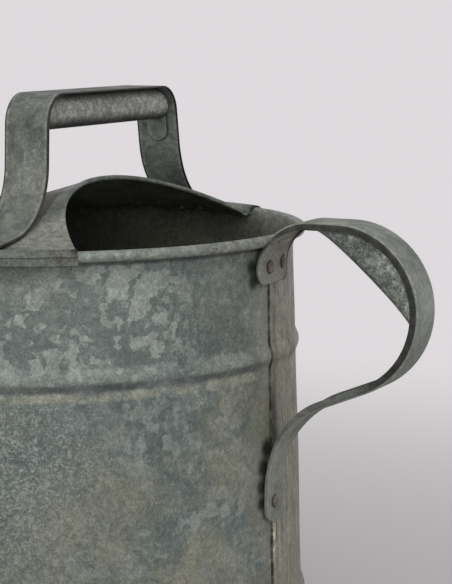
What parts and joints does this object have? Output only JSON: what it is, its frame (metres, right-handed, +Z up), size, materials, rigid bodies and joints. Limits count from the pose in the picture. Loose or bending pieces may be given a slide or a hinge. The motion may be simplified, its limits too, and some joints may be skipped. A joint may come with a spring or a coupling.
{
  "type": "galvanised watering can",
  "caption": "Round tapered sheet-metal watering can with hooded mouth, cross handle, strap loop handle behind and straight tapered spout, weathered zinc.",
  "frame": {"origin": "on the surface the can stands on, under the middle of the whole outline; the can's own upright axis stands at x = 0.0665 m", "axes": "+Z up, +X from the spout towards the rear handle, Y across the can along the carrying handle"},
  "size_m": [0.556, 0.2774, 0.3162],
  "materials": {
    "body_zinc": "dull weathered galvanising with blue-grey and khaki blotches",
    "hood_zinc": "dull weathered galvanising, brown stained along the hem",
    "handle_zinc": "worn galvanising, darker along the turned edges",
    "spout_zinc": "dull weathered galvanising",
    "dull_steel": "dull, brown tinted steel"
  },
  "bodies": {
    "root": {"body": "body_zinc", "rim_wire": "dull_steel", "base_plate": "body_zinc", "hood": "hood_zinc", "bail_strap": "handle_zinc", "grip_tube": "handle_zinc", "grip_tab_left": "handle_zinc", "grip_tab_right": "handle_zinc", "rear_strap": "handle_zinc", "rear_palm": "handle_zinc", "spout": "spout_zinc", "spout_stay": "handle_zinc", "stay_clip": "spout_zinc", "tongue_rivet_1": "dull_steel", "tongue_rivet_2": "dull_steel", "heel_rivet": "dull_steel", "bail_rivet_left_1": "dull_steel", "bail_rivet_left_2": "dull_steel", "bail_rivet_right_1": "dull_steel", "bail_rivet_right_2": "dull_steel", "stay_rivet": "dull_steel"}
  },
  "joints": []
}
